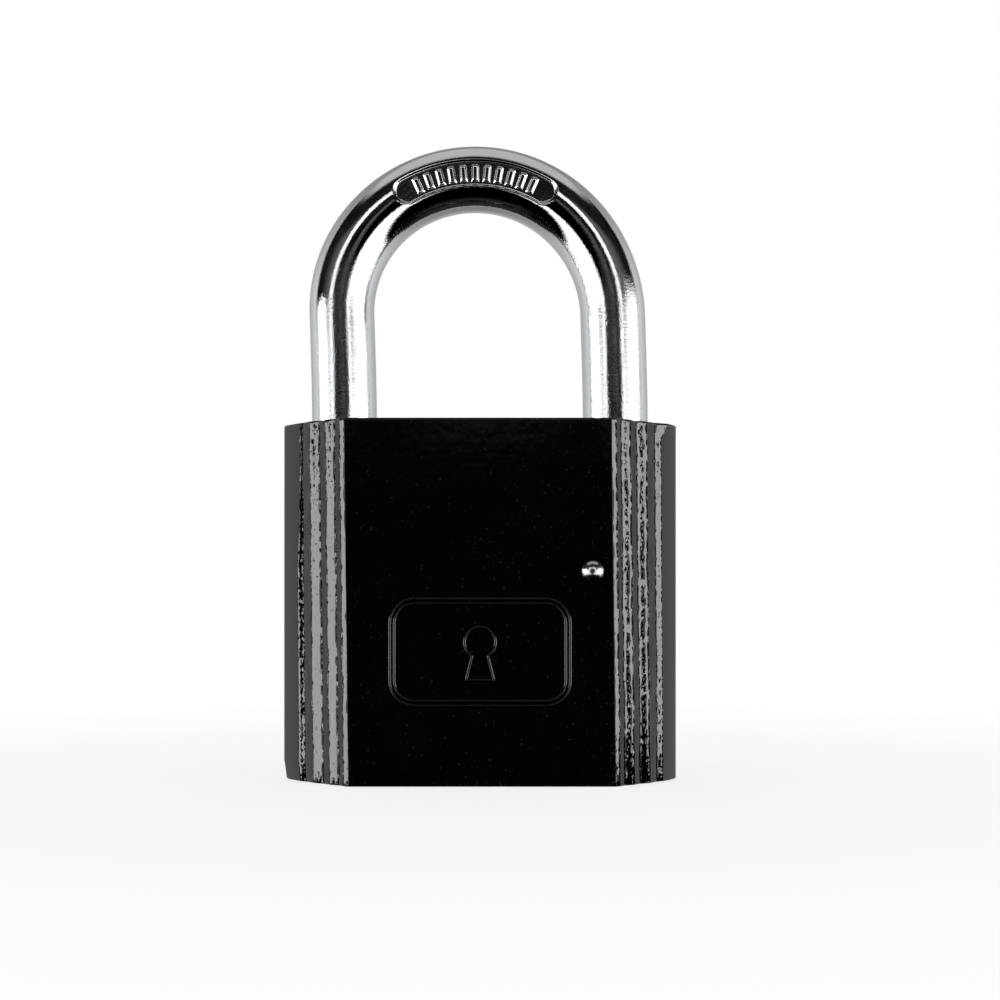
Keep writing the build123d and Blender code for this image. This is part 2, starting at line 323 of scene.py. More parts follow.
def caseCorner(outer):
    # plan of one front quarter, from the front face to the side: (x, y, radius, what follows)
    s = caseSizes
    fall = math.tan(math.radians(s["treadSlope"]))
    depth = (s["thickness"] - s["sideFlat"]) / 2
    drop = (depth - fall * sum(s["treads"])) / sum(s["risers"])
    x = s["width"] / 2 - sum(s["treads"]) - sum(s["risers"])
    y = -s["thickness"] / 2
    spots = [(x, y, s["edge"], 1)]
    for number, (tread, riser) in enumerate(zip(s["treads"], s["risers"]), 1):
        last = number == len(s["treads"])
        wide = tread * outer if last else tread
        spots.append((x + wide, y + wide * fall, s["edge"], -number))
        x, y = x + tread + riser, y + tread * fall + riser * drop
        spots.append((x, y, s["side"] if last else s["hollow"], 0 if last else number + 1))
    return spots


flatFace, stepEdge = 9, 5  # marks beside the treads' own numbers 1 to 4
pieceCounts = {}


def caseOutline(leftOuter, rightOuter):
    # closed loop of (x, y, tread number or mark, place across it)
    plain = [(x, -y, r) for x, y, r, _ in reversed(caseCorner(1.0))]
    quarter = caseCorner(rightOuter)
    corners = [(x, y, r) for x, y, r, _ in quarter] + plain
    corners += [(-x, y, r) for x, y, r in reversed(plain)]
    corners += [(-x, y, r) for x, y, r, _ in reversed(caseCorner(leftOuter))]
    kinds = [k for *_, k in quarter[:-1]]
    kinds = kinds + [0] + list(reversed(kinds))
    kinds = kinds + [flatFace] + list(reversed(kinds)) + [flatFace]
    count = len(corners)
    bends = []
    for i, (x, y, r) in enumerate(corners):
        before, here, after = (Vector(corners[(i + k) % count][:2]) for k in (-1, 0, 1))
        a, b = (before - here).normalized(), (after - here).normalized()
        turn = math.pi - a.angle(b)
        reach = r * math.tan(turn / 2)
        side = 1 if a.x * b.y - a.y * b.x < 0 else -1
        bends.append((here + a * reach, here + b * reach, a, turn, r, side))
    loop = []
    for i, (start, end, a, turn, r, side) in enumerate(bends):
        middle = start + Vector((a.y, -a.x)) * r * side
        big = r == caseSizes["side"]
        steps = bendSteps["side" if big else "edge"]
        first = start - middle
        for k in range(steps):
            c, s = math.cos(turn * k / steps * side), math.sin(turn * k / steps * side)
            loop.append((middle.x + first.x * c - first.y * s, middle.y + first.x * s + first.y * c,
                         0 if big else stepEdge, 0.5))
        goal = bends[(i + 1) % count][0]
        where = {flatFace: "face", 0: "side"}.get(kinds[i], "front" if end.y < 0 else "back")
        pieces = pieceCounts.setdefault(i, max(2, round((goal - end).length / pointGaps[where])))
        bulge = caseSizes["bulge"] if kinds[i] == -len(caseSizes["treads"]) else 0.0
        across = Vector((goal.y - end.y, end.x - goal.x)).normalized()
        for k in range(pieces):
            t = k / pieces
            p = end.lerp(goal, t) + across * bulge * 4 * t * (1 - t)
            loop.append((p.x, p.y, max(kinds[i], 0) % flatFace, t))
    return loop


flawSizes = {
    "behind": 0.4, "edge": 0.62, "faceEdge": 0.2, "faceReach": 0.1,
    "foot": 0.35, "footRight": 0.16, "footLeft": 0.06, "rim": 0.5, "rimHeight": 0.9,
    # for each tread, from the front face: least, how much more, and how steeply that comes in
    "right": ((0.1, 0.3, 8), (0.62, 0.16, 2), (0.66, 0.2, 2), (0.3, 0.2, 2)),  # more towards the foot
    "left": ((0.05, 0.0, 1), (0.14, 0.36, 5), (0.16, 0.38, 3), (0.52, 0.6, 1)),  # more towards the top
    "line": 0.45, "lineWidth": 0.2, "lineWidens": 0.35, "lineSteep": 6,  # a ragged line, wider downwards
    "besideLine": 0.15, "besideMiddle": 0.35,
}


def flawAt(x, y, z, tread, across):
    # how ragged the enamel is: worst low on the right, pitted high on the left, broken at the foot
    f = flawSizes
    middle = math.sin(math.pi * across)
    if not tread:
        return 0.0
    if y > 0:
        return f["behind"] * middle
    up = z / caseSizes["height"]
    side = "right" if x > 0 else "left"
    foot = f["foot"] * max(0.0, 1 - up / f["footRight" if x > 0 else "footLeft"])
    foot += f["rim"] * max(0.0, 1 - z / f["rimHeight"])
    if tread == stepEdge:
        behindFace = y > f["faceReach"] - caseSizes["thickness"] / 2
        return foot + f["edge" if behindFace else "faceEdge"]
    least, more, steep = f[side][tread - 1]
    if side == "left":
        even = f["besideMiddle"]
        return (least + more * up ** steep + foot) * (even + (1 - even) * middle)
    even, width = f["besideLine"], f["lineWidth"] + f["lineWidens"] * (1 - up) ** f["lineSteep"]
    line = math.exp(-((across - f["line"]) / width) ** 2)
    return (least + more * (1 - up) ** steep + foot) * (even + (1 - even) * line)


boreSizes = {
    "legX": 17.35, "leg": 4.4, "heelFloor": 4.0, "toeFloor": 35.0, "mouth": 0.4,
    "plug": 6.05, "plugTop": 27.2, "neck": 4.05, "neckTop": 40.6,
    "latch": 2.5, "latchZ": 40.0, "latchFrom": -24.0, "latchTo": 9.4,
    "pins": 5, "pin": 1.5, "firstPin": 5.6, "pinPitch": 3.9, "pinFrom": -24.6, "pinTo": -5.0,
    "heelPin": 1.25, "heelPinX": 13.75, "heelPinZ": 26.3, "heelPinTo": 5.81,
    "plugPin": 1.0, "plugPinX": 6.0, "plugPinZ": 24.4, "plugPinFrom": -6.01, "plugPinTo": 10.6,
    "lap": 0.2, "around": 48, "wide": 3.0, "wideAround": 96,
}


def caseHoles():
    # (foot, axis, radius at the foot, radius at the far end, length) of every drilling
    b, top, past = boreSizes, caseSizes["height"], 1.0
    holes = []
    flare = 1.5 * b["mouth"]  # the countersinks reach past the top
    for x, floor in ((b["legX"], b["heelFloor"]), (-b["legX"], b["toeFloor"])):
        holes.append(((x, 0, floor), "Z", b["leg"], b["leg"], top + past - floor))
        holes.append(((x, 0, top - b["mouth"]), "Z", b["leg"], b["leg"] + flare, flare))
    holes.append(((0, 0, -past), "Z", b["plug"], b["plug"], b["plugTop"] + past))
    length = b["neckTop"] - b["plugTop"] + b["lap"]
    holes.append(((0, 0, b["plugTop"] - b["lap"]), "Z", b["neck"], b["neck"], length))
    length = b["latchTo"] - b["latchFrom"]  # this one and the pin chambers stay closed under the enamel
    holes.append(((b["latchFrom"], 0, b["latchZ"]), "X", b["latch"], b["latch"], length))
    for number in range(b["pins"]):
        foot = (b["pinFrom"], 0, b["firstPin"] + b["pinPitch"] * number)
        holes.append((foot, "X", b["pin"], b["pin"], b["pinTo"] - b["pinFrom"]))
    front = -caseSizes["thickness"] / 2 - past
    foot = (b["heelPinX"], front, b["heelPinZ"])
    holes.append((foot, "Y", b["heelPin"], b["heelPin"], b["heelPinTo"] - front))
    foot = (b["plugPinX"], b["plugPinFrom"], b["plugPinZ"])
    holes.append((foot, "Y", b["plugPin"], b["plugPin"], b["plugPinTo"] - b["plugPinFrom"]))
    return holes


def caseTree():
    # dents the enamel with the chip field, lets the steps wander a little, and drills the bores
    s = caseSizes
    tree, given, names = newTree("enamelSteps", chipDepth="Float", wander="Float", sway="Float",
                                 material="Material")
    place = addNode(tree, "GeometryNodeInputPosition")
    spot = addNode(tree, "ShaderNodeVectorMath", {0: place, "Scale": 1 / mm}, operation="SCALE")
    flaw, step = (addNode(tree, "GeometryNodeInputNamedAttribute", {"Name": name})
                  for name in ("flaw", "step"))
    chips = chipField(tree, spot, flaw)
    chip = addNode(tree, "ShaderNodeMapRange", [chips, *chipSizes["dented"]], **smooth)
    shares = []
    for sizes, detail, reach in ((s["waves"], 1, "wander"), (s["swings"], 3, "sway")):
        lengths = tuple(1 / size for size in sizes)
        grain = addNode(tree, "ShaderNodeVectorMath", [spot, lengths], operation="MULTIPLY")
        noise = addNode(tree, "ShaderNodeTexNoise", {"Vector": grain, "Scale": 1, "Detail": detail})
        share = addNode(tree, "ShaderNodeMath", [noise, 0.5], operation="SUBTRACT")
        shares.append(addNode(tree, "ShaderNodeMath", [share, given[reach]], operation="MULTIPLY"))
    dent = addNode(tree, "ShaderNodeMath", [chip, given["chipDepth"]], operation="MULTIPLY")
    rise = addNode(tree, "ShaderNodeMath", [shares[0], dent], operation="SUBTRACT")
    normal = addNode(tree, "GeometryNodeInputNormal")
    lift = addNode(tree, "ShaderNodeVectorMath", {0: normal, "Scale": rise}, operation="SCALE")
    sideways = addNode(tree, "ShaderNodeCombineXYZ", {"X": shares[1]})
    offset = addNode(tree, "ShaderNodeVectorMath", [lift, sideways], operation="ADD")
    offset = addNode(tree, "ShaderNodeVectorMath", {0: offset, "Scale": step}, operation="SCALE")
    shaped = addNode(tree, "GeometryNodeSetPosition", {"Geometry": given["Geometry"], "Offset": offset})
    cut = addNode(tree, "GeometryNodeMeshBoolean", {"Mesh 1": shaped}, out=None,
                  operation="DIFFERENCE", solver="EXACT")
    turns = {"X": (0, math.pi / 2, 0), "Y": (-math.pi / 2, 0, 0), "Z": (0, 0, 0)}
    for foot, axis, low, high, length in caseHoles():
        around = boreSizes["wideAround" if low > boreSizes["wide"] else "around"]
        drum = addNode(tree, "GeometryNodeMeshCone", {
            "Vertices": around, "Radius Bottom": low * mm, "Radius Top": high * mm, "Depth": length * mm})
        drum = addNode(tree, "GeometryNodeTransform", {
            "Geometry": drum, "Translation": Vector(foot) * mm, "Rotation": turns[axis]})
        tree.links.new(drum, cut.inputs["Mesh 2"])
    endTree(tree, cut.outputs[0], given["material"])
    return tree, names


def caseLevels():
    # (height, how far the outline is drawn in) from the rounded foot to the rounded top
    rim, height, count = caseSizes["rim"], caseSizes["height"], caseSizes["levels"]
    angles = [math.radians(a) for a in range(0, 91, 15)]
    curve = [(rim * (1 - math.cos(a)), rim * (1 - math.sin(a))) for a in angles]
    body = [(rim + (height - 2 * rim) * k / count, 0.0) for k in range(1, count)]
    return curve + body + [(height - z, inset) for z, inset in reversed(curve)]


def makeCase():
    s = caseSizes
    height, front, side = s["height"], s["thickness"] / 2, s["width"] / 2
    levels = caseLevels()
    points, flaws, steps = [], [], []
    for z, inset in levels:
        fade = min(1.0, z / s["calmRim"], (height - z) / s["calmRim"])
        below = 1 - z / height
        narrow = min(1.0, max(s["narrow"], below / s["narrowFrom"]))
        loop = caseOutline(narrow, 1 + s["flare"] * max(0.0, 1 - below / s["flareFrom"]))
        tuck = s["tuck"] * max(0.0, 1 - z / s["tuckHeight"])
        for i, (x, y, tread, across) in enumerate(loop):
            a, b = loop[i - 1], loop[(i + 1) % len(loop)]
            out = Vector((b[1] - a[1], a[0] - b[0])).normalized()
            slip = s["lean"] * (0.5 - z / height) * min(1.0, max(0.0, (-y - s["leanFrom"]) / s["leanOver"]))
            slip += tuck * min(1.0, max(0.0, (-x - side + s["tuckReach"]) / s["tuckReach"]))
            points.append(((x + slip - out.x * inset) * mm, (y - out.y * inset) * mm, z * mm))
            flaws.append(flawAt(x, y, z, tread, across) * fade)
            stepped = abs(y) < front - s["calmFace"] and abs(x) < side - s["calmSide"]
            steps.append(fade if stepped else 0.0)
    thing = meshObject("enamelledCase", points, [], tubeFaces(len(levels), len(loop)), enamel)
    for name, values in (("flaw", flaws), ("step", steps)):
        thing.data.attributes.new(name, "FLOAT", "POINT").data.foreach_set("value", values)
    tree, names = caseTree()
    values = {name: s[name] * mm for name in ("chipDepth", "wander", "sway")}
    runTree(thing, tree, names, {**values, "material": enamel})
    return finishMesh(thing, angle=40)


case = makeCase()
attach(case, "case")
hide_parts("case")
print("case", len(case.data.vertices), "points")


# shackle

shackleLow, shackleHigh = nodeBox("shackle")
shackleSizes = {
    "bar": shackleHigh.y, "legX": shackleHigh.x - shackleHigh.y, "bowHeight": shackleHigh.z - shackleHigh.x,
    "heelEnd": shackleLow.z, "toeEnd": 35.6, "heelChamfer": 0.5, "toeChamfer": 1.2,
    "panelLength": 20.0, "panelWidth": 3.4, "panelDepth": 0.62, "panelLip": 0.42, "lipOut": 0.35,
    "flatX": 15.15, "flatTop": 28.35, "waistLow": 14.25, "waistHigh": 17.35, "waist": 2.0,
    "notchX": -16.2, "notchLow": 38.2, "notchHigh": 41.8,
    "lean": -0.6, "leanFrom": 44.0, "leanTo": 72.0,  # it rocks a little to the left in its bores
    "legGap": 1.0, "bowGap": 0.5, "panelGap": 0.14, "panelMargin": 0.8,
    "frontTurn": 42.0, "frontPoints": 46, "backPoints": 54,
}


def shackleRings():
    # (distance along the bar, radius) from the heel's end over the bow to the toe's end
    s = shackleSizes
    heel = s["bowHeight"] - s["heelEnd"]
    bow = math.pi * s["legX"]
    toe = s["bowHeight"] - s["toeEnd"]
    half = math.asin(s["panelLength"] / 2 / s["legX"]) * s["legX"] + s["panelMargin"]
    rings = [(0.0, s["bar"] - s["heelChamfer"]), (s["heelChamfer"], s["bar"])]
    at = s["heelChamfer"]
    stops = ((heel, "legGap"), (heel + bow / 2 - half, "bowGap"), (heel + bow / 2 + half, "panelGap"),
             (heel + bow, "bowGap"), (heel + bow + toe - s["toeChamfer"], "legGap"))
    for stop, gap in stops:
        pieces = max(1, round((stop - at) / s[gap]))
        rings += [(at + (stop - at) * k / pieces, s["bar"]) for k in range(1, pieces + 1)]
        at = stop
    rings.append((heel + bow + toe, s["bar"] - s["toeChamfer"]))
    return rings, heel, bow


def barFrame(distance, heel, bow):
    # centre of the bar, the direction away from the bow's inside, and the turn from the bow's top
    s = shackleSizes
    if distance <= heel:
        return Vector((s["legX"], 0, s["heelEnd"] + distance)), Vector((1, 0, 0)), None
    if distance < heel + bow:
        a = (distance - heel) / s["legX"]
        out = Vector((math.cos(a), 0, math.sin(a)))
        return Vector((0, 0, s["bowHeight"])) + out * s["legX"], out, a - math.pi / 2
    return Vector((-s["legX"], 0, s["bowHeight"] - (distance - heel - bow))), Vector((-1, 0, 0)), None


def panelFall(turn, radial):
    # 0 outside the pressed panel, 1 on its floor, with a soft lip between
    s = shackleSizes
    half = s["panelWidth"] / 2
    straight = math.asin(s["panelLength"] / 2 / s["legX"]) * s["legX"] - half
    away = math.hypot(max(abs(turn) * s["legX"] - straight, 0), radial) - half
    t = min(1.0, max(0.0, -away / s["panelLip"] + s["lipOut"]))
    return t * t * (3 - 2 * t)


def leanAt(z):
    s = shackleSizes
    t = min(1.0, max(0.0, (z - s["leanFrom"]) / (s["leanTo"] - s["leanFrom"])))
    return s["lean"] * t * t * (3 - 2 * t)


def aroundAngles():
    # 0 looks to the front, where the points lie closer
    front, ahead, behind = (shackleSizes[name] for name in ("frontTurn", "frontPoints", "backPoints"))
    angles = [front * (2 * k / ahead - 1) for k in range(ahead + 1)]
    angles += [front + (360 - 2 * front) * k / behind for k in range(1, behind)]
    return [math.radians(angle) for angle in angles]


def makeShackle():
    s = shackleSizes
    rings, heel, bow = shackleRings()
    turns = aroundAngles()
    points, places = [], []
    for distance, radius in rings:
        centre, out, turn = barFrame(distance, heel, bow)
        for angle in turns:
            radial, toward = radius * math.sin(angle), radius * math.cos(angle)
            p = centre + out * radial + Vector((0, -toward, 0))
            if turn is not None and toward > 0:
                floor = s["panelDepth"] - s["bar"]
                p.y += (floor - p.y) * panelFall(turn, radial)
            p.x += leanAt(p.z)
            points.append(p * mm)
            places += (radial, toward, distance)  # the bar laid straight, in millimetres
    thing = meshObject("chromedShackle", points, [], tubeFaces(len(rings), len(turns)), chrome)
    thing.data.attributes.new("bar", "FLOAT_VECTOR", "POINT").data.foreach_set("vector", places)
    cutter = shackleCutter()
    modifier = thing.modifiers.new("cuts", "BOOLEAN")
    modifier.operation, modifier.solver, modifier.object = "DIFFERENCE", "EXACT", cutter
    modifier.use_self = True  # the flat and the waist meet
    finishMesh(thing, angle=30)
    bpy.data.objects.remove(cutter)
    return thing


def shackleCutter():
    # the heel's flat and waist, and the toe's notch for the latch
    s, past, lap, around = shackleSizes, 1.0, 0.5, 48
    wide = s["bar"] + past
    shape = bmesh.new()
    boxes = (((s["legX"] - wide, -wide, s["waistHigh"] - lap), (s["flatX"], wide, s["flatTop"])),
             ((s["notchX"], -wide, s["notchLow"]), (wide - s["legX"], wide, s["notchHigh"])))
    for low, high in boxes:
        for v in bmesh.ops.create_cube(shape, size=1.0)["verts"]:
            v.co = Vector([(a if c < 0 else b) * mm for a, b, c in zip(low, high, v.co)])
    rows = []
    low, high, waist = s["waistLow"], s["waistHigh"], s["waist"]
    turns = [2 * math.pi * k / around for k in range(around)]
    for z, r in ((low, waist), (low, wide), (high, wide), (high, waist)):
        ring = [Vector((s["legX"] + r * math.cos(a), r * math.sin(a), z)) for a in turns]
        rows.append([shape.verts.new(p * mm) for p in ring])
    for k, row in enumerate(rows):
        after = rows[(k + 1) % len(rows)]
        for i in range(around):
            j = (i + 1) % around
            shape.faces.new((row[i], after[i], after[j], row[j]))
    bmesh.ops.recalc_face_normals(shape, faces=shape.faces)
    thing = meshObject("cuts", [], [], [], chrome)
    shape.to_mesh(thing.data)
    shape.free()
    return thing


shackle = makeShackle()
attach(shackle, "shackle")
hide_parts("shackle")
print("shackle", len(shackle.data.vertices), "points")


# ribs on the floor of the shackle's panel

ribSizes = {
    "count": 11, "spread": 49.0, "width": 1.05, "length": 2.3, "rise": 0.4, "sink": 0.08,
    "points": (13, 19, 2), "acrossPower": 4, "alongPower": 10,  # rounded across, squarer along
}


def ribTree():
    # pillow-topped bars stood across the arc of the panel
    r = ribSizes
    tree, given, names = newTree("ribRow", count="Int", spread="Float", radius="Float", width="Float",
                                 length="Float", rise="Float", sink="Float", material="Material")
    size = addNode(tree, "ShaderNodeCombineXYZ", [given["width"], given["length"], given["sink"]])
    block = addNode(tree, "GeometryNodeMeshCube", [size, *r["points"]])
    place = addNode(tree, "GeometryNodeInputPosition")
    split = addNode(tree, "ShaderNodeSeparateXYZ", [place], out=None).outputs
    above = addNode(tree, "ShaderNodeMath", [split["Z"], 0.0], operation="GREATER_THAN")
    height = addNode(tree, "ShaderNodeMath", [above, given["rise"]], operation="MULTIPLY")
    for axis, side, power in (("X", "width", r["acrossPower"]), ("Y", "length", r["alongPower"])):
        half = addNode(tree, "ShaderNodeMath", [given[side], 0.5], operation="MULTIPLY")
        share = addNode(tree, "ShaderNodeMath", [split[axis], half], operation="DIVIDE")
        share = addNode(tree, "ShaderNodeMath", [share], operation="ABSOLUTE")
        share = addNode(tree, "ShaderNodeMath", [share, power], operation="POWER")
        share = addNode(tree, "ShaderNodeMath", [1.0, share], operation="SUBTRACT")
        height = addNode(tree, "ShaderNodeMath", [height, share], operation="MULTIPLY")
    # the block is as high as it is sunk, so its top edge lies that far under the panel's floor
    height = addNode(tree, "ShaderNodeMath", [given["sink"], -1.5, height], operation="MULTIPLY_ADD")
    raised = addNode(tree, "ShaderNodeCombineXYZ", {"Z": height})
    rib = addNode(tree, "GeometryNodeSetPosition", {"Geometry": block, "Offset": raised})
    points = addNode(tree, "GeometryNodeMeshLine", {"Count": given["count"]})
    last = addNode(tree, "ShaderNodeMath", [given["count"], 1.0], operation="SUBTRACT")
    number = addNode(tree, "GeometryNodeInputIndex")
    share = addNode(tree, "ShaderNodeMath", [number, last], operation="DIVIDE")
    share = addNode(tree, "ShaderNodeMath", [share, 0.5], operation="SUBTRACT")
    angle = addNode(tree, "ShaderNodeMath", [share, given["spread"]], operation="MULTIPLY")
    across, up = (addNode(tree, "ShaderNodeMath", [angle], operation=way) for way in ("SINE", "COSINE"))
    out = addNode(tree, "ShaderNodeCombineXYZ", {"X": across, "Z": up})
    spot = addNode(tree, "ShaderNodeVectorMath", {0: out, "Scale": given["radius"]}, operation="SCALE")
    points = addNode(tree, "GeometryNodeSetPosition", {"Geometry": points, "Position": spot})
    turn = addNode(tree, "FunctionNodeAxesToRotation", [(0, -1, 0), out],
                   primary_axis="Z", secondary_axis="Y")
    row = addNode(tree, "GeometryNodeInstanceOnPoints",
                  {"Points": points, "Instance": rib, "Rotation": turn})
    endTree(tree, row, given["material"])
    return tree, names


def makeRibs():
    s, r = shackleSizes, ribSizes
    thing = meshObject("panelRibs", [(0, 0, 0)], [], [], chrome)
    tree, names = ribTree()
    values = {name: r[name] * mm for name in ("width", "length", "rise", "sink")}
    runTree(thing, tree, names, {
        **values, "count": r["count"], "spread": math.radians(r["spread"]), "radius": s["legX"] * mm,
        "material": chrome})
    finishMesh(thing, angle=60)
    floor = Vector((s["lean"], s["panelDepth"] - s["bar"], s["bowHeight"]))
    thing.data.transform(Matrix.Translation(floor * mm))
    return thing


ribs = makeRibs()
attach(ribs, "shackle")
print("ribs", len(ribs.data.vertices), "points")


# springs: each stretches between the case and the piece it pushes, and its axis points at the case

wireShape = {"gap": 0.05, "perTurn": 28, "around": 12}
springSizes = {
    "shackle_spring": {"axis": (0, 0, -1), "wire": 0.8, "turns": 5, "pushes": "shackle"},
    "latch_spring": {"axis": (1, 0, 0), "wire": 0.5, "turns": 3, "pushes": "latch_bolt"},
}
for number in range(1, boreSizes["pins"] + 1):
    springSizes[f"driver_spring_{number}"] = {
        "axis": (-1, 0, 0), "wire": 0.36, "turns": 4, "pushes": f"driver_pin_{number}"}


def springTree():
    # round wire wound on a spiral
    tree, given, names = newTree("woundSpring", turns="Float", radius="Float", wire="Float", height="Float",
                                 material="Material")
    path = addNode(tree, "GeometryNodeCurveSpiral", {
        "Resolution": wireShape["perTurn"], "Rotations": given["turns"], "Height": given["height"],
        "Start Radius": given["radius"], "End Radius": given["radius"]})
    ring = addNode(tree, "GeometryNodeCurvePrimitiveCircle",
                   {"Resolution": wireShape["around"], "Radius": given["wire"]})
    wire = addNode(tree, "GeometryNodeCurveToMesh",
                   {"Curve": path, "Profile Curve": ring, "Fill Caps": True})
    endTree(tree, wire, given["material"])
    return tree, names


def makeSpring(node, tree, names):
    sizes, gap = springSizes[node], wireShape["gap"]
    low, high = nodeBox(node)
    axis, span = Vector(sizes["axis"]), high - low
    length = abs(span.dot(axis))
    outer = max(size for size, along in zip(span, axis) if not along)
    foot = (low + high) / 2 - axis * length / 2
    radius = sizes["wire"] / 2
    thing = meshObject(node + "Wire", [(0, 0, 0)], [], [], springSteel)
    runTree(thing, tree, names, {
        "turns": float(sizes["turns"]), "radius": (outer / 2 - radius) * mm, "wire": radius * mm,
        "height": (length - 2 * gap - 2 * radius) * mm, "material": springSteel})
    finishMesh(thing, angle=60)
    turn = axis.to_track_quat("Z", "Y").to_matrix().to_4x4()
    thing.data.transform(Matrix.Translation((foot + axis * (gap + radius)) * mm) @ turn)
    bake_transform(thing)
    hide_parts(node)


woundTree, woundNames = springTree()
for node in springSizes:
    makeSpring(node, woundTree, woundNames)
print("springs", len(springSizes))


# domed pin

pinLow, pinHigh = nodeBox("shackle_retaining_pin")
pinSizes = {
    "front": caseLow.y, "back": pinHigh.y, "shank": 1.24, "head": 1.35, "rise": 0.85, "lip": 0.12,
    "shoulder": 0.02, "around": 64, "arcs": 16,
}


def makePin():
    s, around = pinSizes, pinSizes["around"]
    middle = (pinLow + pinHigh) / 2
    ball = (s["head"] ** 2 + s["rise"] ** 2) / (2 * s["rise"])
    reach, arcs = math.asin(s["head"] / ball), s["arcs"]
    angles = [reach * k / arcs for k in range(1, arcs + 1)]
    profile = [(ball * math.sin(a), s["front"] - s["rise"] + ball * (1 - math.cos(a))) for a in angles]
    profile += [(s["shank"], s["front"] + s["shoulder"]), (s["shank"], s["back"] - s["lip"]),
                (s["shank"] - s["lip"], s["back"])]
    points = []
    turns = [2 * math.pi * k / around for k in range(around)]
    for r, y in profile:
        points += [Vector((middle.x + r * math.cos(a), y, middle.z + r * math.sin(a))) * mm for a in turns]
    thing = meshObject("domedPin", points, [], tubeFaces(len(profile), around), polished)
    shape = bmesh.new()
    shape.from_mesh(thing.data)
    bmesh.ops.recalc_face_normals(shape, faces=shape.faces)
    shape.to_mesh(thing.data)
    shape.free()
    thing.data.set_sharp_from_angle(angle=math.radians(40))
    return thing


pin = makePin()
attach(pin, "case")
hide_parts("shackle_retaining_pin")
print("pin", len(pin.data.vertices), "points")


# ridge lines on the front: a plain frame of two lines with a keyhole in it

badgeSizes = {
    "z": 16.4, "width": 22.0, "height": 13.0, "corner": 3.0, "inner": 0.55, "ridge": 0.19, "rise": 0.17,
    "spacing": 0.25, "ball": 1.9, "foot": 1.7, "drop": 4.6, "keyholeUp": 1.2,
    "past": 60, "step": 10,  # degrees: how far the keyhole's circle runs on below its middle, and its steps
    "arcs": 12, "around": 10,
}


def badgeTree():
    # low round ridges along the drawn lines
    tree, given, names = newTree("frontRidges", ridge="Float", spacing="Float", material="Material")
    line = addNode(tree, "GeometryNodeMeshToCurve", {"Mesh": given["Geometry"]})
    line = addNode(tree, "GeometryNodeResampleCurve", {"Curve": line, "Length": given["spacing"]},
                   mode="LENGTH")
    ring = addNode(tree, "GeometryNodeCurvePrimitiveCircle",
                   {"Resolution": badgeSizes["around"], "Radius": given["ridge"]})
    tube = addNode(tree, "GeometryNodeCurveToMesh", {"Curve": line, "Profile Curve": ring})
    endTree(tree, tube, given["material"])
    return tree, names


def roundedLoop(inset):
    s, arcs = badgeSizes, badgeSizes["arcs"]
    corner = s["corner"] - inset
    loop = []
    for sx, sz, start in ((1, 1, 0), (-1, 1, 90), (-1, -1, 180), (1, -1, 270)):
        for k in range(arcs + 1):
            a = math.radians(start + 90 * k / arcs)
            loop.append((sx * (s["width"] / 2 - s["corner"]) + corner * math.cos(a),
                         sz * (s["height"] / 2 - s["corner"]) + corner * math.sin(a)))
    return loop


def keyholeLoop():
    # most of a circle with a flared slot under it
    s = badgeSizes
    angles = [math.radians(a) for a in range(-s["past"], 181 + s["past"], s["step"])]
    loop = [(s["ball"] * math.cos(a), s["ball"] * math.sin(a)) for a in angles]
    loop += [(-s["foot"], -s["drop"]), (s["foot"], -s["drop"])]
    return [(x, z + s["keyholeUp"]) for x, z in loop]


def makeBadge():
    s = badgeSizes
    y = caseLow.y - s["rise"] + s["ridge"]
    points, edges = [], []
    for loop in (roundedLoop(0.0), roundedLoop(s["inner"]), keyholeLoop()):
        first = len(points)
        points += [(x * mm, y * mm, (s["z"] + z) * mm) for x, z in loop]
        edges += [(first + k, first + (k + 1) % len(loop)) for k in range(len(loop))]
    thing = meshObject("frontRidges", points, edges, [], enamel)
    tree, names = badgeTree()
    values = {name: s[name] * mm for name in ("ridge", "spacing")}
    runTree(thing, tree, names, {**values, "material": enamel})
    return finishMesh(thing, angle=60)


badge = makeBadge()
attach(badge, "case")
print("badge", len(badge.data.vertices), "points")


# stage

cameraSizes = {
    "back": 218.0, "up": 22.4, "lens": 61.2, "shiftX": 0.020, "shiftY": 0.103,
    "nearest": 0.01, "farthest": 20,
}
camera = bpy.data.objects.new("camera", bpy.data.cameras.new("camera"))
scene.collection.objects.link(camera)
camera.location = (0, -cameraSizes["back"] * mm, cameraSizes["up"] * mm)
camera.rotation_euler = (math.radians(90), 0, 0)
camera.data.lens = cameraSizes["lens"]
camera.data.shift_x, camera.data.shift_y = cameraSizes["shiftX"], cameraSizes["shiftY"]
camera.data.clip_start, camera.data.clip_end = cameraSizes["nearest"], cameraSizes["farthest"]
scene.camera = camera

floorLook = {"half": 3.0, "z": -0.05, "paper": "#f0f0f0", "bright": (0.03, 0.18, 0.78, 1.0)}


